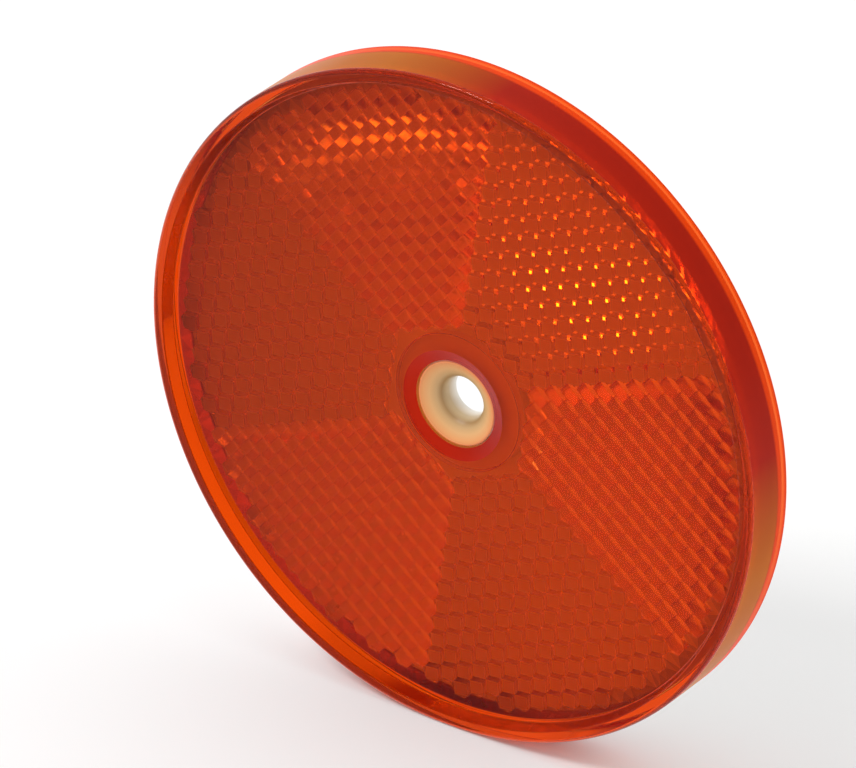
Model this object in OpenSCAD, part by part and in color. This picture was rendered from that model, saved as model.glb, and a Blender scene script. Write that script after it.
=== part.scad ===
// Round screw-on reflector: an amber lens with corner-cube pins on its back, closed by a
// white plate whose dished boss fills the opening in the middle of the lens.
// The profiles are drawn as [radius, height above the back face]. The finished part stands
// upright: its front faces -Y, +Z is up and the origin is the middle of the screw hole's wall.

/* [Overall] */
// Outer diameter of the reflector
body_d = 80; // [66:1:88]
// Overall thickness, from the back face to the top of the front rim
body_h = 7.1; // [6.8:0.1:9]

/* [Lens] */
// Width of the raised rim round the lens face
rim_w = 2; // [1.8:0.1:4]
// Height of the rim above the lens face
rim_rise = 1.4; // [0.8:0.1:1.8]
// Width of the slope on the rim's inner side
rim_slope = 0.5; // [0.2:0.05:0.8]
// Radius of the rim's outer edge
rim_edge_r = 0.6; // [0.3:0.1:0.9]
// Solid thickness of the lens between its face and its pins
face_t = 1.5; // [1:0.1:1.8]
// Thickness of the lens's skirt round the back plate
skirt_t = 1.2; // [1:0.1:1.5]
// Chamfer on the skirt's back edge
skirt_chamfer = 0.25; // [0.1:0.05:0.5]
// Diameter of the opening in the middle of the lens, at its face
eye_d = 13.2; // [12:0.1:15]
// Depth of the opening's conical mouth
eye_depth = 0.5; // [0.3:0.1:0.9]
// Width of the collar that stands on the back plate round the boss
collar_w = 3; // [2:0.1:4]

/* [Prism field] */
// Distance across the flats of one hexagonal pin
pin_pitch = 2.29; // [2:0.01:2.6]
// Direction of the first sector boundary, seen from the front
field_turn = 21.5; // [0:0.5:59.5]
// Clear width between the pins and the side wall
rim_margin = 0.3; // [0.2:0.1:3]
// Clear width between the pins and the collar
collar_margin = 0.4; // [0.2:0.1:3]
// Height of the web that joins the pins' valleys to the lens
valley_t = 0.05; // [0.02:0.01:0.2]

/* [Back plate] */
// Thickness of the back plate
plate_t = 1.3; // [1:0.1:1.6]
// Height of the plate's rim, which carries the lens
plate_rim_h = 1.8; // [1.5:0.1:2.6]
// Gap all round between the plate's edge and the skirt, and between boss and lens
fit_gap = 0.1; // [0.05:0.05:0.2]
// Chamfer on the plate's back edge
plate_chamfer = 0.3; // [0.1:0.05:0.6]
// Outer diameter of the boss where it shows in the lens's opening
boss_d = 10.2; // [9.4:0.1:11]
// Height of the shoulder that carries the lens's collar
shoulder_h = 3; // [2.4:0.1:3.6]
// Rounding of the boss's outer edge
boss_edge_r = 0.2; // [0.1:0.05:0.4]
// Depth of the annular relief in the back
relief_depth = 0.4; // [0.2:0.1:0.6]
// Width of the outer land that the plate seats on
outer_land = 4; // [2:0.1:8]
// Width of the inner land round the screw recess
inner_land = 3.2; // [2:0.1:6]

/* [Screw hole] */
// Diameter of the screw hole
screw_d = 5; // [4:0.1:5.6]
// Length of the screw hole's straight wall
screw_wall = 1.5; // [1:0.1:1.8]
// Diameter at which the dish turns down into the hole
dish_d = 6.4; // [6:0.1:7]
// Depth of the dish at that diameter
dish_depth = 1.05; // [0.7:0.05:1.4]
// Depth of the screw hole's mouth below the boss's edge
mouth_depth = 2.3; // [2:0.1:2.5]
// Diameter of the recess behind the screw hole
recess_d = 9.2; // [8:0.1:9.8]

/* [Hidden] */
body_r = body_d / 2;
face_z = body_h - rim_rise;
lens_back_z = face_z - face_t;
wall_r = body_r - rim_w;
skirt_r = body_r - skirt_t;
plate_r = skirt_r - fit_gap;
boss_r = boss_d / 2;
bore_r = boss_r + fit_gap;
collar_r = bore_r + collar_w;
boss_top_z = face_z - eye_depth;
mouth_z = boss_top_z - mouth_depth;
recess_z = mouth_z - screw_wall;
hole_z = (mouth_z + recess_z) / 2;
screw_r = screw_d / 2;
recess_r = recess_d / 2;
dish_r = dish_d / 2;
bend_z = boss_top_z - dish_depth;
dish_slope = dish_depth / (boss_r - boss_edge_r - dish_r);
arc_steps = 6;

// Corner cubes: three square faces meet at right angles at the tip of each pin.
cube_edge = pin_pitch / sqrt(2);
pin_h = 2 * cube_edge / sqrt(3);
pin_corner_r = pin_pitch / sqrt(3);
pin_top_z = lens_back_z + face_t / 3;
valley_z = lens_back_z - valley_t;
ridge_z = valley_z - pin_h / 2;
tip_z = valley_z - pin_h;
field_r = wall_r - rim_margin;
field_inner_r = collar_r + collar_margin;
reach = ceil(field_r / (pin_pitch * sqrt(3) / 2));

// The six neighbours of a pin, and its corners in thirds of a lattice step. The corners
// run from 30 degrees and the neighbours from 0, both anticlockwise in steps of 60.
neighbours = [[1, 0], [0, 1], [-1, 1], [-1, 0], [0, -1], [1, -1]];
corners = [[1, 1], [-1, 2], [-2, 1], [-1, -1], [1, -2], [2, -1]];
sides = 6;

// Points of a quarter circle or less, from one angle to another.
function arc(centre, r, from, to) =
    [for (s = [0 : arc_steps])
        let (a = from + (to - from) * s / arc_steps) centre + r * [cos(a), sin(a)]];

// Points after the first of a smooth bend that starts towards the middle point.
function bend(first, middle, last) =
    [for (s = [1 : arc_steps])
        let (t = s / arc_steps) (1 - t) * (1 - t) * first + 2 * t * (1 - t) * middle + t * t * last];

// Distance of a pin's centre from the middle, for a pin at lattice place q.
function lattice_r(q) = pin_pitch * sqrt(q[0] * q[0] + q[0] * q[1] + q[1] * q[1]);

function in_field(q) =
    lattice_r(q) + pin_corner_r <= field_r && lattice_r(q) - pin_corner_r >= field_inner_r;

// The sector of a place in the upper half of the lattice, or -1 in the lower half.
function half_sector(q) =
    q[0] >= 0 && q[1] > 0 ? 0 :
    q[0] < 0 && q[0] + q[1] >= 0 ? 1 :
    q[1] >= 0 && q[0] + q[1] < 0 ? 2 : -1;

// Sectors count anticlockwise, and each owns the row of pins on its second boundary.
function sector(q) = half_sector(q) >= 0 ? half_sector(q) : half_sector(-q) + 3;

// 0 or 1 for the two ways a pin is turned, or -1 where there is no pin.
function turned(q) = in_field(q) ? (sector(q) + 1) % 2 : -1;

// Lattice thirds to millimetres.
function place(t, z) = [(t[0] + t[1] / 2) * pin_pitch / 3, t[1] * sqrt(3) / 2 * pin_pitch / 3, z];

// The corners of a pin are deep valleys and the ends of its ridges in turn.
function corner_z(kind, m) = (m + kind) % 2 == 0 ? valley_z : ridge_z;

function corner(q, m, z) = place(3 * q + corners[m % sides], z);

function edge_middle(q, m) =
    place(3 * q + (corners[m % sides] + corners[(m + 1) % sides]) / 2, (valley_z + ridge_z) / 2);

// Does the side from corner m to the next one meet a pin turned the other way?
function crossed(q, kind, m) = turned(q + neighbours[(m + 1) % sides]) == 1 - kind;

function open_side(q, m) = turned(q + neighbours[(m + 1) % sides]) < 0;

// A side's run from corner m to the next, with its middle where another side crosses it.
function side_run(q, kind, m) = concat(
    [corner(q, m, corner_z(kind, m))],
    crossed(q, kind, m) ? [edge_middle(q, m)] : []);

// One square face of a corner cube, from the tip round the valley corner m.
function cube_face(q, kind, m) = concat(
    [place(3 * q, tip_z)],
    side_run(q, kind, m + 5),
    side_run(q, kind, m),
    [corner(q, m + 1, corner_z(kind, m + 1))]);

function pin_top(q) = [for (m = [0 : sides - 1]) corner(q, sides - 1 - m, pin_top_z)];

// The upright edge over a ridge's end has a point where the next pin's wall starts beside it.
function edge_stop(q, kind, m, side) = crossed(q, kind, side) ? [corner(q, m, valley_z)] : [];

// The wall along a side with no pin beyond it runs up into the lens. It starts at the
// side's valley corner, which never has such a point.
function open_wall(q, kind, m) =
    corner_z(kind, m) == valley_z
        ? concat(
            [corner(q, m, valley_z), corner(q, m, pin_top_z), corner(q, m + 1, pin_top_z)],
            edge_stop(q, kind, m + 1, m + 1),
            [corner(q, m + 1, ridge_z)])
        : concat(
            [corner(q, m + 1, valley_z), corner(q, m, ridge_z)],
            edge_stop(q, kind, m, m + 5),
            [corner(q, m, pin_top_z), corner(q, m + 1, pin_top_z)]);

// Where two turned pins meet, each closes the half of the side on which it is the longer.
function crossed_wall(q, kind, m) =
    corner_z(kind, m) == ridge_z
        ? [edge_middle(q, m), corner(q, m, ridge_z), corner(q, m, valley_z)]
        : [edge_middle(q, m), corner(q, m + 1, valley_z), corner(q, m + 1, ridge_z)];

// All faces of one pin, each as its own list of points, clockwise seen from outside.
function pin_faces(q, kind) = concat(
    [pin_top(q)],
    [for (m = [kind : 2 : sides - 1]) cube_face(q, kind, m)],
    [for (m = [0 : sides - 1]) if (open_side(q, m)) open_wall(q, kind, m)],
    [for (m = [0 : sides - 1]) if (crossed(q, kind, m)) crossed_wall(q, kind, m)]);

places = [for (i = [-reach : reach]) for (j = [-reach : reach]) if (in_field([i, j])) [i, j]];

// The whole field of pins as one solid, sunk a little way into the lens.
module prism_field() {
    faces = [for (q = places) each pin_faces(q, turned(q))];
    firsts = [for (n = 0, first = 0; n < len(faces); first = first + len(faces[n]), n = n + 1) first];
    polyhedron(
        points = [for (f = faces) each f],
        faces = [for (n = [0 : len(faces) - 1]) [for (p = [0 : len(faces[n]) - 1]) firsts[n] + p]],
        convexity = 10);
}

// The lens without its pins: skirt, rim, face, mouth of the opening and collar.
module lens_shell() {
    rotate_extrude($fn = 180)
    polygon(concat(
        [[bore_r, shoulder_h], [collar_r, shoulder_h], [collar_r, lens_back_z]],
        [[wall_r, lens_back_z], [wall_r, plate_rim_h], [skirt_r, plate_rim_h], [skirt_r, 0]],
        [[body_r - skirt_chamfer, 0], [body_r, skirt_chamfer]],
        arc([body_r - rim_edge_r, body_h - rim_edge_r], rim_edge_r, 0, 90),
        [[wall_r + rim_slope, body_h], [wall_r, face_z]],
        [[eye_d / 2, face_z], [bore_r, boss_top_z]]));
}

module lens() {
    color("orangered")
    upright() {
        lens_shell();
        rotate([0, 0, field_turn]) prism_field();
    }
}

// Turns the front towards -Y and puts the middle of the screw hole's wall at the origin.
module upright() {
    rotate([90, 0, 0]) translate([0, 0, -hole_z]) children();
}

// The dish falls from the boss's edge, then bends down into the screw hole.
module back_plate() {
    color("white")
    upright()
    rotate_extrude($fn = 180)
    polygon(concat(
        [[recess_r, 0], [recess_r + inner_land, 0], [recess_r + inner_land, relief_depth]],
        [[plate_r - outer_land, relief_depth], [plate_r - outer_land, 0]],
        [[plate_r - plate_chamfer, 0], [plate_r, plate_chamfer], [plate_r, plate_rim_h]],
        [[wall_r, plate_rim_h], [wall_r, plate_t], [collar_r, plate_t]],
        [[collar_r, shoulder_h], [boss_r, shoulder_h]],
        arc([boss_r - boss_edge_r, boss_top_z - boss_edge_r], boss_edge_r, 0, 90),
        [[dish_r, bend_z]],
        bend([dish_r, bend_z], [screw_r, bend_z - dish_slope * (dish_r - screw_r)], [screw_r, mouth_z]),
        [[screw_r, recess_z], [recess_r, recess_z]]));
}

lens();
back_plate();
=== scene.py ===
"""Looks of the round reflector: an amber lens with corner-cube pins over a white back plate.

Profiles are drawn in millimetres as [radius, height above the back face], as in the part's
source. `in_frame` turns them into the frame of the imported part, in metres: the front faces -Y,
+Z is up and the origin is the middle of the screw hole's wall.
"""

import math

import bpy
from mathutils import Matrix, Vector
from mathutils.geometry import delaunay_2d_cdt

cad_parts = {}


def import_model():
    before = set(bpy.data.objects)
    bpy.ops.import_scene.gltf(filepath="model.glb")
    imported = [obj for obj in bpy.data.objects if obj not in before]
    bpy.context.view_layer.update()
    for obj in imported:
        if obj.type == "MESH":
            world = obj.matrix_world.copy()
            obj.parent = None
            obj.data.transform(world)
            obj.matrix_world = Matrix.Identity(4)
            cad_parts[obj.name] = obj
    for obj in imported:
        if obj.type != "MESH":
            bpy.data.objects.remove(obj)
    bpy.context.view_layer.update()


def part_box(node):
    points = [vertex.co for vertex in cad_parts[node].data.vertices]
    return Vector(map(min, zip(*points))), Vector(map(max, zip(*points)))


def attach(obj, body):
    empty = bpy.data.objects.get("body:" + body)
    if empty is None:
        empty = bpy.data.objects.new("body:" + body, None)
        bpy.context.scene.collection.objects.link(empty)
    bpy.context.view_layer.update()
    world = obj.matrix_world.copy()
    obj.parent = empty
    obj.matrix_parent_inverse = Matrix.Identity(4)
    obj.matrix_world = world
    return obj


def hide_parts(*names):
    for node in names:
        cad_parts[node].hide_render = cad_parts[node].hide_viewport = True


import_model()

MM = 0.001

# Driving sizes. The outer radius, the thickness and the origin's height come from the frame.
lens_low, lens_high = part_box("lens")
BODY_R = lens_high.x / MM
HOLE_Z = lens_high.y / MM
BODY_H = HOLE_Z - lens_low.y / MM

RIM_W, RIM_RISE, RIM_SLOPE, RIM_EDGE_R = 2.0, 1.4, 0.5, 0.6
FACE_T, SKIRT_T, SKIRT_CHAMFER = 1.5, 1.2, 0.25
EYE_R, EYE_DEPTH, COLLAR_W = 6.6, 0.5, 3.0
PLATE_T, PLATE_RIM_H, PLATE_CHAMFER, FIT_GAP = 1.3, 1.8, 0.3, 0.1
BOSS_R, BOSS_EDGE_R, SHOULDER_H = 5.1, 0.2, 3.0
RELIEF_DEPTH, OUTER_LAND, INNER_LAND = 0.4, 4.0, 3.2
SCREW_R, SCREW_WALL, DISH_R, DISH_DEPTH, MOUTH_DEPTH, RECESS_R = 2.5, 1.5, 3.2, 1.05, 2.3, 4.6
WELD_SINK = 0.01  # how far the plate is fused into the lens
HAIR, SLIVER = 0.001, 0.01  # less than any step of a profile, and less than any wall
# The side wall's look is its painted shading and cloudiness.
SKIRT_EDGE = 0.3  # the side wall's look takes in the chamfer and its rounding

PITCH, FIELD_TURN, RIM_MARGIN, COLLAR_MARGIN, VALLEY_T = 2.29, 21.5, 0.3, 0.4, 0.05

FACE_Z = BODY_H - RIM_RISE
LENS_BACK_Z = FACE_Z - FACE_T
WALL_R = BODY_R - RIM_W
SKIRT_R = BODY_R - SKIRT_T
PLATE_R = SKIRT_R - FIT_GAP
BORE_R = BOSS_R + FIT_GAP
COLLAR_R = BORE_R + COLLAR_W
BOSS_TOP_Z = FACE_Z - EYE_DEPTH
BEND_Z = BOSS_TOP_Z - DISH_DEPTH
MOUTH_Z = BOSS_TOP_Z - MOUTH_DEPTH
RECESS_Z = MOUTH_Z - SCREW_WALL
DISH_SLOPE = DISH_DEPTH / (BOSS_R - BOSS_EDGE_R - DISH_R)

# Corner cubes: three square faces meet at right angles at the tip of each pin.
PIN_H = 2 * PITCH / math.sqrt(6)
PIN_CORNER_R = PITCH / math.sqrt(3)
VALLEY_Z = LENS_BACK_Z - VALLEY_T
RIDGE_Z = VALLEY_Z - PIN_H / 2
TIP_Z = VALLEY_Z - PIN_H
FIELD_R = WALL_R - RIM_MARGIN
FIELD_INNER_R = COLLAR_R + COLLAR_MARGIN
NEIGHBOURS = [(1, 0), (0, 1), (-1, 1), (-1, 0), (0, -1), (1, -1)]
CORNERS = [(1, 1), (-1, 2), (-2, 1), (-1, -1), (1, -2), (2, -1)]
SIDES = 6
# The darkening of the field's edge is painted shade of the hollow behind the lens.
EDGE_REACH, EDGE_FADE = 1.6, 1.2  # the pins grow darker this far inside the field's edge

TURNS = 360  # steps of a revolved surface


def in_frame(x, y, z):
    """A point of the part's drawing, in millimetres, as a point of the frame in metres."""
    return Vector((x, HOLE_Z - z, y)) * MM


# Meshes


class Shape:
    """A mesh made face by face, with welded points and a normal for each face corner.

    `marks` says of a place (radius, height) how strongly each named mark is set there.
    """

    def __init__(self, marks=None):
        self.index, self.points, self.faces, self.normals = {}, [], [], []
        self.marks = marks or {}
        self.marked = {name: [] for name in self.marks}

    def point(self, x, y, z):
        key = (round(x, 5), round(y, 5), round(z, 5))
        if key not in self.index:
            self.index[key] = len(self.points)
            self.points.append(in_frame(x, y, z))
        return self.index[key]

    def face(self, corners, normals=None, **own):
        """Corners run anticlockwise seen from outside. Without normals the face is flat.
        `own` are marks that this face gets whatever its place.
        """
        places = [self.point(*c) for c in corners]
        if normals is None:
            a, b, c = (Vector(p) for p in (corners[0], corners[1], corners[-1]))
            normals = [(b - a).cross(c - a).normalized()] * len(corners)
        self.faces.append(places)
        self.normals += [Vector((n[0], -n[2], n[1])) for n in normals]
        radius = sum(math.hypot(x, y) for x, y, _ in corners) / len(corners)
        height = sum(z for *_, z in corners) / len(corners)
        for name, mark in self.marks.items():
            self.marked[name].append(own.get(name, mark(radius, height)))

    def piece(self, name):
        mesh = bpy.data.meshes.new(name)
        mesh.from_pydata(self.points, [], self.faces)
        mesh.shade_smooth()
        mesh.normals_split_custom_set(self.normals)
        for mark, values in self.marked.items():
            mesh.attributes.new(mark, "FLOAT", "FACE").data.foreach_set("value", values)
        made = bpy.data.objects.new(name, mesh)
        bpy.context.scene.collection.objects.link(made)
        return made


def rounded(corners, arc_step=11.25):
    """Points of a closed profile of (radius, height, rounding), with a normal at each point.

    The profile runs anticlockwise. Each entry is (point, normal before, normal after).
    """
    made = []
    for k, (r, z, rounding) in enumerate(corners):
        here = Vector((r, z))
        into = (here - Vector(corners[k - 1][:2])).normalized()
        away = (Vector(corners[(k + 1) % len(corners)][:2]) - here).normalized()
        before, after = Vector((into.y, -into.x)), Vector((away.y, -away.x))
        turn = math.atan2(into.x * away.y - into.y * away.x, into.dot(away))
        if rounding == 0 or abs(turn) < 1e-6:
            made.append((here, before, after))
            continue
        reach = rounding * math.tan(abs(turn) / 2)
        centre = here - into * reach - math.copysign(rounding, turn) * before
        steps = max(2, round(math.degrees(abs(turn)) / arc_step))
        for s in range(steps + 1):
            angle = turn * s / steps
            normal = Vector((
                before.x * math.cos(angle) - before.y * math.sin(angle),
                before.x * math.sin(angle) + before.y * math.cos(angle),
            ))
            made.append((centre + math.copysign(rounding, turn) * normal, normal, normal))
    return made


def spin(shape, run):
    """Revolves the strips between following points of a run of (point, normal, normal)."""
    for (p, _, n), (q, m, _) in zip(run, run[1:]):
        for k in range(TURNS):
            near, far = (2 * math.pi * t / TURNS for t in (k, k + 1))
            around = [(p, n, near), (p, n, far), (q, m, far), (q, m, near)]
            shape.face(
                [(v.x * math.cos(a), v.x * math.sin(a), v.y) for v, _, a in around],
                [(u.x * math.cos(a), u.x * math.sin(a), u.y) for _, u, a in around],
            )


def circle(radius):
    return [(radius * math.cos(2 * math.pi * k / TURNS), radius * math.sin(2 * math.pi * k / TURNS))
            for k in range(TURNS)]


# Prism field


def lattice_r(i, j):
    return PITCH * math.sqrt(i * i + i * j + j * j)


def in_field(i, j):
    r = lattice_r(i, j)
    return r + PIN_CORNER_R <= FIELD_R and r - PIN_CORNER_R >= FIELD_INNER_R


def half_sector(i, j):
    if i >= 0 and j > 0:
        return 0
    if i < 0 and i + j >= 0:
        return 1
    return 2 if j >= 0 and i + j < 0 else -1


def sector(i, j):
    """Sectors count anticlockwise, and each owns the row of pins on its second boundary."""
    half = half_sector(i, j)
    return half if half >= 0 else half_sector(-i, -j) + 3


def turned(i, j):
    """0 or 1 for the two ways a pin is turned, or -1 where there is no pin."""
    return (sector(i, j) + 1) % 2 if in_field(i, j) else -1


def place(a, b, z):
    """Lattice thirds to millimetres, turned to where the first sector boundary lies."""
    x, y = (a + b / 2) * PITCH / 3, b * math.sqrt(3) / 2 * PITCH / 3
    c, s = math.cos(math.radians(FIELD_TURN)), math.sin(math.radians(FIELD_TURN))
    return (x * c - y * s, x * s + y * c, z)


class Pin:
    """One corner cube at lattice place (i, j). Its faces run clockwise, as in the source."""

    def __init__(self, i, j):
        self.i, self.j, self.kind = i, j, turned(i, j)

    def key(self, m):
        a, b = CORNERS[m % SIDES]
        return 3 * self.i + a, 3 * self.j + b

    def corner_z(self, m):
        return VALLEY_Z if (m + self.kind) % 2 == 0 else RIDGE_Z

    def corner(self, m, z=None):
        return place(*self.key(m), self.corner_z(m) if z is None else z)

    def middle(self, m):
        (a, b), (c, d) = self.key(m), self.key(m + 1)
        return place((a + c) / 2, (b + d) / 2, (VALLEY_Z + RIDGE_Z) / 2)

    def beyond(self, m):
        i, j = NEIGHBOURS[(m + 1) % SIDES]
        return turned(self.i + i, self.j + j)

    def crossed(self, m):
        return self.beyond(m) == 1 - self.kind

    def open(self, m):
        return self.beyond(m) < 0

    def run(self, m):
        return [self.corner(m)] + ([self.middle(m)] if self.crossed(m) else [])

    def cube_face(self, m):
        tip = place(3 * self.i, 3 * self.j, TIP_Z)
        return [tip] + self.run(m + 5) + self.run(m) + [self.corner(m + 1)]

    def stop(self, m, side):
        return [self.corner(m, VALLEY_Z)] if self.crossed(side) else []

    def open_wall(self, m):
        if self.corner_z(m) == VALLEY_Z:
            return ([self.corner(m, VALLEY_Z), self.corner(m, LENS_BACK_Z),
                     self.corner(m + 1, LENS_BACK_Z)]
                    + self.stop(m + 1, m + 1) + [self.corner(m + 1, RIDGE_Z)])
        return ([self.corner(m + 1, VALLEY_Z), self.corner(m, RIDGE_Z)]
                + self.stop(m, m + 5)
                + [self.corner(m, LENS_BACK_Z), self.corner(m + 1, LENS_BACK_Z)])

    def crossed_wall(self, m):
        if self.corner_z(m) == RIDGE_Z:
            return [self.middle(m), self.corner(m, RIDGE_Z), self.corner(m, VALLEY_Z)]
        return [self.middle(m), self.corner(m + 1, VALLEY_Z), self.corner(m + 1, RIDGE_Z)]

    def faces(self):
        yield from (self.cube_face(m) for m in range(self.kind, SIDES, 2))
        yield from (self.open_wall(m) for m in range(SIDES) if self.open(m))
        yield from (self.crossed_wall(m) for m in range(SIDES) if self.crossed(m))


def pins():
    reach = math.ceil(FIELD_R / (PITCH * math.sqrt(3) / 2))
    span = range(-reach, reach + 1)
    return [Pin(i, j) for i in span for j in span if in_field(i, j)]


def outlines(field):
    """The closed loops of corners round the field: the outer one first."""
    following = {p.key(m): p.key(m + 1) for p in field for m in range(SIDES) if p.open(m)}
    loops = []
    while following:
        start = next(iter(following))
        loop, at = [start], following.pop(start)
        while at != start:
            loop.append(at)
            at = following.pop(at)
        loops.append([place(a, b, 0)[:2] for a, b in loop])
    return sorted(loops, key=lambda loop: -max(math.hypot(*p) for p in loop))


def within(x, y, loop):
    """Is the point inside the loop? Counts the sides that a ray to the right crosses."""
    inside = False
    for (ax, ay), (bx, by) in zip(loop, loop[1:] + loop[:1]):
        if (ay > y) != (by > y) and x < (bx - ax) * (y - ay) / (by - ay) + ax:
            inside = not inside
    return inside


def flat_ring(shape, outer, inner, z):
    """The plane between two loops, facing the back."""
    places = outer + inner
    sides = [(k, (k + 1) % len(outer)) for k in range(len(outer))]
    sides += [(len(outer) + k, len(outer) + (k + 1) % len(inner)) for k in range(len(inner))]
    _, _, triangles, *_ = delaunay_2d_cdt([Vector(p) for p in places], sides, [], 0, 1e-6, False)
    for a, b, c in ([places[k] for k in t] for t in triangles):
        x, y = (sum(along) / 3 for along in zip(a, b, c))
        if within(x, y, outer) and not within(x, y, inner):
            shape.face([(*p, z) for p in (c, b, a)], [(0, 0, -1)] * 3)


def outside(r, z):
    """Is this place of the lens in the open, and not turned to the plate?"""
    return float(r > SKIRT_R + HAIR or z > BOSS_TOP_Z + HAIR)


def side_wall(r, z):
    return float(r > BODY_R - SKIRT_EDGE and z < BODY_H - RIM_EDGE_R)


def inner_wall(r, z):
    return float(WALL_R - SLIVER < r < SKIRT_R - SLIVER and PLATE_RIM_H < z < LENS_BACK_Z)


def field_edge(r, z):
    """Grows from the field's outermost pins to the side wall, inside the lens's back. It carries the
    painted shade of the hollow behind the lens, and a duller moulding.
    """
    inside = PLATE_RIM_H < z < BOSS_TOP_Z and r < SKIRT_R - SLIVER
    return min(1, max(0, (r - FIELD_R + EDGE_REACH) / EDGE_FADE)) * inside


def rim_edge(r, z):
    return float(r > BODY_R - RIM_EDGE_R and BODY_H - RIM_EDGE_R < z < BODY_H - HAIR)


def eye_wall(r, z):
    return float(BORE_R < r < EYE_R and BOSS_TOP_Z < z < FACE_Z - HAIR)


def unmarked(r, z):
    """The pins' own faces get their mark when they are made."""
    return 0.0


def lens_piece():
    # The run starts and ends at the flat back, which the field of pins breaks up. Each corner
    # is (radius, height, rounding), and a plain number is the slight rounding of a moulding.
    run = rounded([
        (WALL_R, LENS_BACK_Z, 0.15),
        (WALL_R, PLATE_RIM_H, 0.05),
        (SKIRT_R, PLATE_RIM_H, 0.05),
        (SKIRT_R, 0, 0.1),
        (BODY_R - SKIRT_CHAMFER, 0, 0.08),
        (BODY_R, SKIRT_CHAMFER, 0.08),
        (BODY_R, BODY_H, RIM_EDGE_R),
        (WALL_R + RIM_SLOPE, BODY_H, 0.15),
        (WALL_R, FACE_Z, 0.15),
        (EYE_R, FACE_Z, 0.12),
        (BORE_R, BOSS_TOP_Z, 0.04),
        (BORE_R, SHOULDER_H, 0.05),
        (COLLAR_R, SHOULDER_H, 0.1),
        (COLLAR_R, LENS_BACK_Z, 0.15),
    ])
    shape = Shape({
        "outside": outside, "side_wall": side_wall, "rim_edge": rim_edge,
        "eye_wall": eye_wall, "field_edge": field_edge, "inner_wall": inner_wall,
        "facet": unmarked,
    })
    spin(shape, run)
    field = pins()
    for pin in field:
        for face in pin.faces():
            shape.face(face[::-1], facet=PIN_DULLNESS[pin.kind])
    outer, inner = outlines(field)
    flat_ring(shape, circle(run[0][0].x), outer, LENS_BACK_Z)
    flat_ring(shape, inner, circle(run[-1][0].x), LENS_BACK_Z)
    return shape.piece("lens_clear")


def bend(first, middle, last, steps=10):
    """Points after the first of a smooth bend that starts towards the middle point."""
    for k in range(1, steps + 1):
        t = k / steps
        yield tuple((1 - t) ** 2 * a + 2 * t * (1 - t) * b + t * t * c
                    for a, b, c in zip(first, middle, last))


def plate_piece():
    dish, mouth = (DISH_R, BEND_Z), (SCREW_R, MOUTH_Z)
    middle = (SCREW_R, BEND_Z - DISH_SLOPE * (DISH_R - SCREW_R))
    # Corners are given as those of the lens are.
    profile = rounded([
        (RECESS_R, 0, 0.15),
        (RECESS_R + INNER_LAND, 0, 0.1),
        (RECESS_R + INNER_LAND, RELIEF_DEPTH, 0.1),
        (PLATE_R - OUTER_LAND, RELIEF_DEPTH, 0.1),
        (PLATE_R - OUTER_LAND, 0, 0.1),
        (PLATE_R - PLATE_CHAMFER, 0, 0.1),
        (PLATE_R, PLATE_CHAMFER, 0.1),
        (PLATE_R, PLATE_RIM_H + WELD_SINK, 0.05),
        (WALL_R, PLATE_RIM_H + WELD_SINK, 0.05),
        (WALL_R, PLATE_T, 0.3),
        (COLLAR_R, PLATE_T, 0.3),
        (COLLAR_R, SHOULDER_H + WELD_SINK, 0.05),
        (BOSS_R, SHOULDER_H + WELD_SINK, 0.05),
        (BOSS_R, BOSS_TOP_Z, BOSS_EDGE_R),
        (*dish, 0),
        *((r, z, 0) for r, z in bend(dish, middle, mouth)),
        (SCREW_R, RECESS_Z, 0.1),
        (RECESS_R, RECESS_Z, 0.2),
    ])
    shape = Shape()
    spin(shape, smoothed(profile) + profile[:1])
    return shape.piece("plate_white")


def smoothed(profile, limit=30):
    """Joins the two normals of a point where the profile turns by less than the limit."""
    made = []
    for point, before, after in profile:
        if before.angle(after) < math.radians(limit):
            before = after = (before + after).normalized()
        made.append((point, before, after))
    return made


# Materials

WHITE, BLACK, GREY = (1, 1, 1, 1), (0, 0, 0, 1), (0.2, 0.2, 0.2, 1)
AMBER_IOR = 1.49
AMBER_DEPTH, AMBER_DENSITY = (0.95, 0.5, 0.1, 1), 100

# Light takes these colours where it crosses a part of the lens's surface. Beyond the amber dye, they
# hold painted light and shade.
# The face's amber dye, darkened towards the left as painted shade.
FACE_DYE_AND_SHADE = [(0.0, (0.66, 0.075, 0.002)), (0.6, (0.92, 0.104, 0.003)), (1.0, (1, 0.113, 0.003))]
FACE_SHADE_FROM, FACE_SHADE_TO = -0.9 * BODY_R, 0.4 * BODY_R
# Painted shading of the side wall: bright orange at the height of the plate's rim, dark red painted
# shade where it stands free of the plate, brown towards its ends, and a lighter orange on its lower
# left.
SIDE_SHADING = [
    (0.0, (1, 0.075, 0.003)), (0.24, (1, 0.07, 0.003)), (0.29, (0.45, 0.016, 0.005)),
    (1.0, (0.52, 0.02, 0.005)),
]
LOWER_SIDE_LIGHT, SIDE_END_SHADING = (0.92, 0.07, 0.003, 1), (0.62, 0.17, 0.003, 1)
# Dark red painted shade on the opening's wall.
EYE_WALL_SHADE = (0.7, 0.022, 0.014, 1)
# Painted shade of the hollow between the lens and the plate, on the field's edge and on the inner wall.
FIELD_EDGE_SHADE, INNER_WALL_SHADE = (0.5, 0.4, 0.5, 1), (0.42, 0.07, 0.4, 1)

# Where the side wall's painted shading begins and is full. UPPER and BROWN_ENDS are shares of DIAGONAL,
# the most that x + z or x - z comes to, and ABOVE_PLATE is shares of the thickness.
DIAGONAL = math.sqrt(2) * BODY_R * MM
UPPER, BROWN_ENDS, ABOVE_PLATE = (-0.5, -0.2), (0.6, 0.85), (0.24, 0.3)

# Shares of light that the side wall and the opening's wall scatter instead of passing on, so that they
# show their painted shade.
SIDE_CLOUD, EYE_CLOUD = 0.65, 0.195

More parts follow.
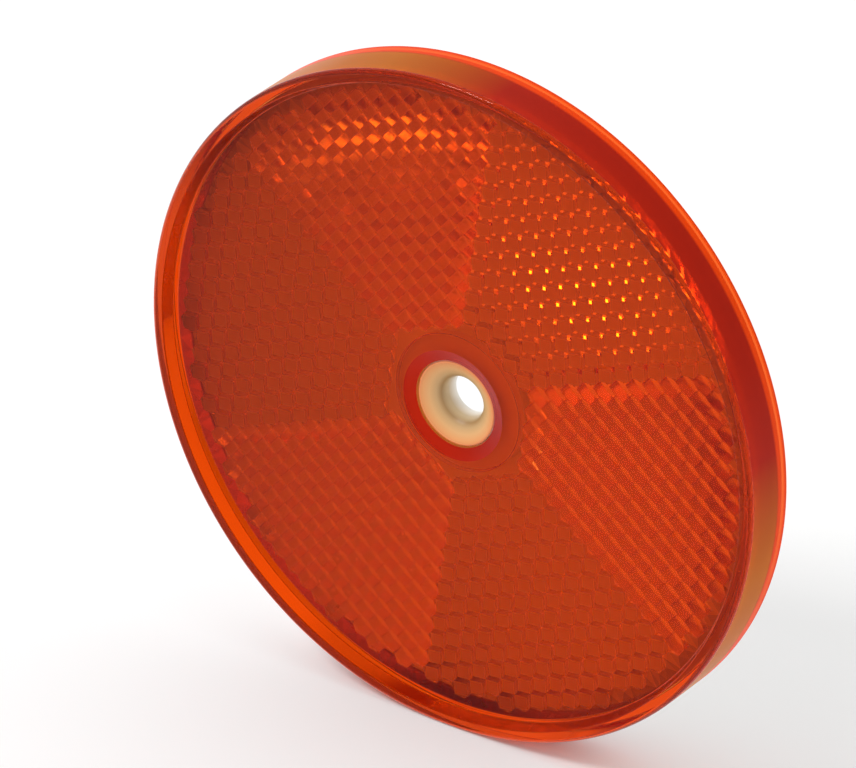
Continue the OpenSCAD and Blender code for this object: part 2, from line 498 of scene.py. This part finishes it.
POLISHED, RUBBED, MOULDED, EDGE_MOULDED = 0.015, 0.12, 0.12, 0.25
PIN_DULLNESS = [1.0, 2.6]  # how dull the two kinds of pin are moulded

# The patch of well polished pins: its middle, and where its polish begins to fade and ends.
BRIGHT_SPOT, BRIGHT_R, BRIGHT_END_R = (14, 21, VALLEY_Z), 12, 18

# Spots per metre, and the noise at which a spot begins and is full.
RUBBED_SPOTS, STAINS = (700, 0.62, 0.74), (260, 0.45, 0.8)

PLATE_WHITE, PLATE_STAIN = (0.96, 0.95, 0.92), (0.97, 0.96, 0.93, 1)
# Painted amber light over the boss, from the screw hole's wall (0) to the boss's edge (1), with brown
# painted shade near the hole.
BOSS_AMBER_LIGHT_AND_SHADE = [
    (0.0, (0.58, 0.44, 0.26)), (0.12, (0.36, 0.21, 0.08)), (0.3, (0.54, 0.33, 0.14)),
    (0.55, (0.70, 0.38, 0.15)), (0.8, (0.74, 0.31, 0.10)), (0.97, (0.74, 0.21, 0.06)),
    (1.0, PLATE_WHITE),
]
SATIN, SATIN_CLOUDS, SATIN_SPAN = (0.34, 0.5), 1500, (0.3, 0.7)
GRAIN_PER_METRE, GRAIN_DETAIL, GRAIN_STRENGTH, GRAIN_DEPTH = 6000, 3, 0.15, 0.02


def material(name):
    made = bpy.data.materials.new(name)
    made.use_nodes = True
    tree = made.node_tree
    return made, tree, tree.nodes["Principled BSDF"], tree.nodes["Material Output"]


def feed(tree, socket, value):
    """Sets a socket to a value, or links it to the output of a node."""
    if isinstance(value, bpy.types.NodeSocket):
        tree.links.new(value, socket)
    else:
        socket.default_value = value


def result(tree, operation, *values):
    """The result of a sum on numbers. Each may be a number or the output of a node."""
    node = tree.nodes.new("ShaderNodeMath")
    node.operation = operation
    for socket, value in zip(node.inputs, values):
        feed(tree, socket, value)
    return node.outputs[0]


def mixed(tree, factor, low, high, blend="MIX"):
    """A colour between two others. Each may be a colour or the output of a node."""
    node = tree.nodes.new("ShaderNodeMix")
    node.data_type, node.blend_type = "RGBA", blend
    for socket, value in ((node.inputs[0], factor), (node.inputs[6], low), (node.inputs[7], high)):
        feed(tree, socket, value)
    return node.outputs[2]


def mapped(tree, value, low, high, start=0.0, stop=1.0):
    """A value taken from the span start to stop and put on the span low to high."""
    node = tree.nodes.new("ShaderNodeMapRange")
    for name, number in (("From Min", start), ("From Max", stop), ("To Min", low), ("To Max", high)):
        node.inputs[name].default_value = number
    tree.links.new(value, node.inputs["Value"])
    return node.outputs["Result"]


def ramp(tree, value, stops):
    """A colour ramp over a value. Stops are (position, colour)."""
    node = tree.nodes.new("ShaderNodeValToRGB")
    elements = node.color_ramp.elements
    for k, (position, colour) in enumerate(stops):
        element = elements[k] if k < 2 else elements.new(position)
        element.position, element.color = position, (*colour, 1)
    tree.links.new(value, node.inputs[0])
    return node.outputs[0]


def spot(tree):
    """The shaded point in the part's frame, in metres."""
    return tree.nodes.new("ShaderNodeTexCoord").outputs["Object"]


def along_axes(tree):
    """The shaded point's x, y and z."""
    split = tree.nodes.new("ShaderNodeSeparateXYZ")
    tree.links.new(spot(tree), split.inputs[0])
    return split.outputs


def axis_distance(tree):
    """Distance from the reflector's axis in millimetres."""
    flat = tree.nodes.new("ShaderNodeVectorMath")
    flat.operation = "MULTIPLY"
    flat.inputs[1].default_value = (1 / MM, 0, 1 / MM)
    tree.links.new(spot(tree), flat.inputs[0])
    length = tree.nodes.new("ShaderNodeVectorMath")
    length.operation = "LENGTH"
    tree.links.new(flat.outputs[0], length.inputs[0])
    return length.outputs["Value"]


def distance_to(tree, x, y, z):
    """Distance in metres from a point of the part's drawing."""
    node = tree.nodes.new("ShaderNodeVectorMath")
    node.operation = "DISTANCE"
    node.inputs[1].default_value = in_frame(x, y, z)
    tree.links.new(spot(tree), node.inputs[0])
    return node.outputs["Value"]


def noise(tree, per_metre, detail=2.0):
    node = tree.nodes.new("ShaderNodeTexNoise")
    node.inputs["Scale"].default_value = per_metre
    node.inputs["Detail"].default_value = detail
    tree.links.new(spot(tree), node.inputs["Vector"])
    return node.outputs["Fac"]


def speckle(tree, per_metre, start, stop):
    """Scattered soft spots: 0 between them and 1 in their middles."""
    return mapped(tree, noise(tree, per_metre), 0, 1, start, stop)


def mark(tree, name):
    node = tree.nodes.new("ShaderNodeAttribute")
    node.attribute_name = name
    return node.outputs["Fac"]


def amber():
    """Clear amber plastic. Its dye keeps one hue at any depth, so light takes most of its colour where
    it crosses the open side, and long ways inside only make it darker. The colours of its surfaces also
    hold painted light and shade."""
    made, tree, shader, output = material("amber_clear")
    x, y, z = along_axes(tree)
    # Upper is 1 over most of the part and fades to 0 on its lower left, where the side wall gets
    # painted light instead of painted shade and stays clear.
    upper = mapped(tree, result(tree, "ADD", x, z), 0, 1, *(share * DIAGONAL for share in UPPER))
    shader.inputs["IOR"].default_value = AMBER_IOR
    shader.inputs["Specular IOR Level"].default_value = 0
    tree.links.new(amber_dye_and_shading(tree, x, y, z, upper), shader.inputs["Base Color"])
    tree.links.new(amber_clearness(tree, upper), shader.inputs["Transmission Weight"])
    tree.links.new(mixed(tree, mark(tree, "rim_edge"), BLACK, GREY), shader.inputs["Specular Tint"])
    tree.links.new(amber_roughness(tree), shader.inputs["Roughness"])
    inside = tree.nodes.new("ShaderNodeVolumeAbsorption")
    inside.inputs["Color"].default_value = AMBER_DEPTH
    inside.inputs["Density"].default_value = AMBER_DENSITY
    tree.links.new(inside.outputs["Volume"], output.inputs["Volume"])
    return made


def amber_dye_and_shading(tree, x, y, z, upper):
    """The open faces get the dye, with painted shade towards the left. The side wall gets painted
    shading, darkest where it stands free of the plate. The opening's wall, the field's edge and the
    inner wall get painted shade.
    """
    # The face: its dye, darkened towards the left as painted shade.
    face = ramp(tree, mapped(tree, x, 0, 1, FACE_SHADE_FROM * MM, FACE_SHADE_TO * MM), FACE_DYE_AND_SHADE)
    # The side wall's painted shading.
    height = mapped(tree, y, 0, 1, HOLE_Z * MM, (HOLE_Z - BODY_H) * MM)
    off_middle = result(tree, "ABSOLUTE", result(tree, "SUBTRACT", x, z))
    ends = mapped(tree, off_middle, 0, 1, *(share * DIAGONAL for share in BROWN_ENDS))
    brown = result(tree, "MULTIPLY", ends, mapped(tree, height, 0, 1, *ABOVE_PLATE))
    side = mixed(tree, brown, ramp(tree, height, SIDE_SHADING), SIDE_END_SHADING)
    side = mixed(tree, upper, LOWER_SIDE_LIGHT, side)
    open_side = mixed(tree, mark(tree, "side_wall"), face, side)
    # The opening's wall: dark red painted shade.
    open_side = mixed(tree, mark(tree, "eye_wall"), open_side, EYE_WALL_SHADE)
    # The field's edge and the inner wall: painted shade of the hollow behind the lens.
    hidden = mixed(tree, mark(tree, "field_edge"), WHITE, FIELD_EDGE_SHADE)
    hidden = mixed(tree, mark(tree, "inner_wall"), hidden, INNER_WALL_SHADE)
    return mixed(tree, mark(tree, "outside"), hidden, open_side)


def amber_clearness(tree, upper):
    side = result(tree, "MULTIPLY", mark(tree, "side_wall"), upper)
    eye = result(tree, "MULTIPLY", mark(tree, "eye_wall"), EYE_CLOUD)
    return result(tree, "SUBTRACT", 1, result(tree, "MULTIPLY_ADD", side, SIDE_CLOUD, eye))


def amber_roughness(tree):
    """Polished, with rubbed spots. The pins are duller but for one well polished patch."""
    rubbed = mapped(tree, speckle(tree, *RUBBED_SPOTS), POLISHED, RUBBED)
    dull = mapped(tree, distance_to(tree, *BRIGHT_SPOT), 0, MOULDED, BRIGHT_R * MM, BRIGHT_END_R * MM)
    edge = result(tree, "MULTIPLY_ADD", mark(tree, "field_edge"), EDGE_MOULDED, rubbed)
    return result(tree, "MULTIPLY_ADD", mark(tree, "facet"), dull, edge)


def white():
    """White moulding. Its boss is painted with the amber light that the lens passes onto it, and with
    brown painted shade on the screw hole's wall.
    """
    made, tree, shader, _ = material("white_moulded")
    # Painted amber light on the boss and painted shade down into the screw hole, on the front only.
    boss = ramp(tree, mapped(tree, axis_distance(tree), 0, 1, SCREW_R, BOSS_R), BOSS_AMBER_LIGHT_AND_SHADE)
    front = mapped(tree, along_axes(tree)["Y"], 0, 1, (HOLE_Z - RECESS_Z) * MM, (HOLE_Z - MOUTH_Z) * MM)
    clean = mixed(tree, front, (*PLATE_WHITE, 1), boss)
    stained = mixed(tree, speckle(tree, *STAINS), WHITE, PLATE_STAIN)
    tree.links.new(mixed(tree, 1.0, clean, stained, "MULTIPLY"), shader.inputs["Base Color"])
    satin = mapped(tree, noise(tree, SATIN_CLOUDS), *SATIN, *SATIN_SPAN)
    tree.links.new(satin, shader.inputs["Roughness"])
    grain = tree.nodes.new("ShaderNodeBump")
    grain.inputs["Strength"].default_value = GRAIN_STRENGTH
    grain.inputs["Distance"].default_value = GRAIN_DEPTH * MM
    tree.links.new(noise(tree, GRAIN_PER_METRE, GRAIN_DETAIL), grain.inputs["Height"])
    tree.links.new(grain.outputs["Normal"], shader.inputs["Normal"])
    return made


# Stage

FLOOR_SIZE, FLOOR_WHITE, FLOOR_ROUGHNESS, FLOOR_GLOSS = 6, (0.96, 0.96, 0.96, 1), 0.9, 0.1
SOFT_LIGHT, PLAIN_WHITE = 0.86, 1

# Azimuth and elevation in degrees, distance, width and height in metres, and watts.
KEY_LAMP = (-40, 50, 1.2, 0.3, 0.3, 5)
SPARK_LAMP = (-25.07, 11.48, 4.0, 0.045, 0.05, 0.12)


def stage():
    bpy.ops.mesh.primitive_plane_add(size=FLOOR_SIZE, location=(0, 0, lens_low.z))
    floor = bpy.context.object
    floor.name = "floor"
    made, _, shader, _ = material("floor_pale")
    shader.inputs["Base Color"].default_value = FLOOR_WHITE
    shader.inputs["Roughness"].default_value = FLOOR_ROUGHNESS
    shader.inputs["Specular IOR Level"].default_value = FLOOR_GLOSS
    floor.data.materials.append(made)


def world():
    """Soft light from all round; the camera, gloss and glass see plain white."""
    made = bpy.data.worlds.new("studio")
    bpy.context.scene.world = made
    made.use_nodes = True
    nodes, links = made.node_tree.nodes, made.node_tree.links
    soft = nodes["Background"]
    soft.inputs["Color"].default_value = WHITE
    soft.inputs["Strength"].default_value = SOFT_LIGHT
    seen = nodes.new("ShaderNodeBackground")
    seen.inputs["Strength"].default_value = PLAIN_WHITE
    path = nodes.new("ShaderNodeLightPath")
    mix = nodes.new("ShaderNodeMixShader")
    either = path.outputs["Is Camera Ray"]
    for kind in ("Is Glossy Ray", "Is Transmission Ray"):
        both = nodes.new("ShaderNodeMath")
        both.operation = "MAXIMUM"
        links.new(either, both.inputs[0])
        links.new(path.outputs[kind], both.inputs[1])
        either = both.outputs[0]
    links.new(either, mix.inputs[0])
    links.new(soft.outputs[0], mix.inputs[1])
    links.new(seen.outputs[0], mix.inputs[2])
    links.new(mix.outputs[0], nodes["World Output"].inputs["Surface"])


def direction(azimuth, elevation):
    """From the object towards a lamp or camera. Azimuth 0 is in front and 90 to the right."""
    a, e = math.radians(azimuth), math.radians(elevation)
    return Vector((math.sin(a) * math.cos(e), -math.cos(a) * math.cos(e), math.sin(e)))


def lamp(name, azimuth, elevation, distance, width, height, watts):
    """A rectangular lamp that faces the object, with its width turned towards X."""
    light = bpy.data.lights.new(name, "AREA")
    light.shape, light.size, light.size_y, light.energy = "RECTANGLE", width, height, watts
    holder = bpy.data.objects.new(name, light)
    towards = direction(azimuth, elevation)
    up = towards.cross(Vector((1, 0, 0))).normalized()
    holder.location = towards * distance
    holder.rotation_euler = Matrix((up.cross(towards), up, towards)).transposed().to_euler()
    bpy.context.scene.collection.objects.link(holder)
    return holder


def lights():
    """A soft key, and a small far lamp that the pins at the upper right throw back."""
    lamp("key", *KEY_LAMP)
    spark = lamp("spark", *SPARK_LAMP)
    spark.visible_diffuse = False


# The photograph's view. The middle of the front rim is at this pixel, and the outer radius
# there is this many pixels.
PHOTO_W, PHOTO_H = 856, 768
VIEW_AZIMUTH, VIEW_ELEVATION = 35.6, 29.3
RIM_PX, RIM_PY, RADIUS_PX = 445.1, 411.2, 368.0
CAMERA_DISTANCE = 1.0
SENSOR = 36

LENS_BOUNCES, PLATE_BOUNCES = 20, 6


def camera():
    data = bpy.data.cameras.new("camera")
    data.sensor_width = SENSOR
    data.lens = RADIUS_PX * CAMERA_DISTANCE / (BODY_R * MM) * SENSOR / PHOTO_W
    holder = bpy.data.objects.new("camera", data)
    back = direction(VIEW_AZIMUTH, VIEW_ELEVATION)
    right = Vector((0, 0, 1)).cross(back).normalized()
    up = back.cross(right)
    pixel = BODY_R * MM / RADIUS_PX
    aim = Vector((0, lens_low.y, 0))
    aim -= right * (RIM_PX - PHOTO_W / 2) * pixel
    aim += up * (RIM_PY - PHOTO_H / 2) * pixel
    holder.location = aim + back * CAMERA_DISTANCE
    holder.rotation_euler = back.to_track_quat("Z", "Y").to_euler()
    bpy.context.scene.collection.objects.link(holder)
    bpy.context.scene.camera = holder


def settings():
    """Light goes through many surfaces inside the pins, so it may bounce often."""
    scene = bpy.context.scene
    scene.view_settings.view_transform = "Standard"
    scene.cycles.max_bounces = LENS_BOUNCES
    scene.cycles.glossy_bounces = LENS_BOUNCES
    scene.cycles.transmission_bounces = LENS_BOUNCES
    scene.cycles.diffuse_bounces = PLATE_BOUNCES


def dress(piece, node, finish):
    piece.data.materials.append(finish)
    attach(piece, "root")
    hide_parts(node)


settings()
camera()
world()
lights()
stage()
dress(lens_piece(), "lens", amber())
dress(plate_piece(), "back_plate", white())
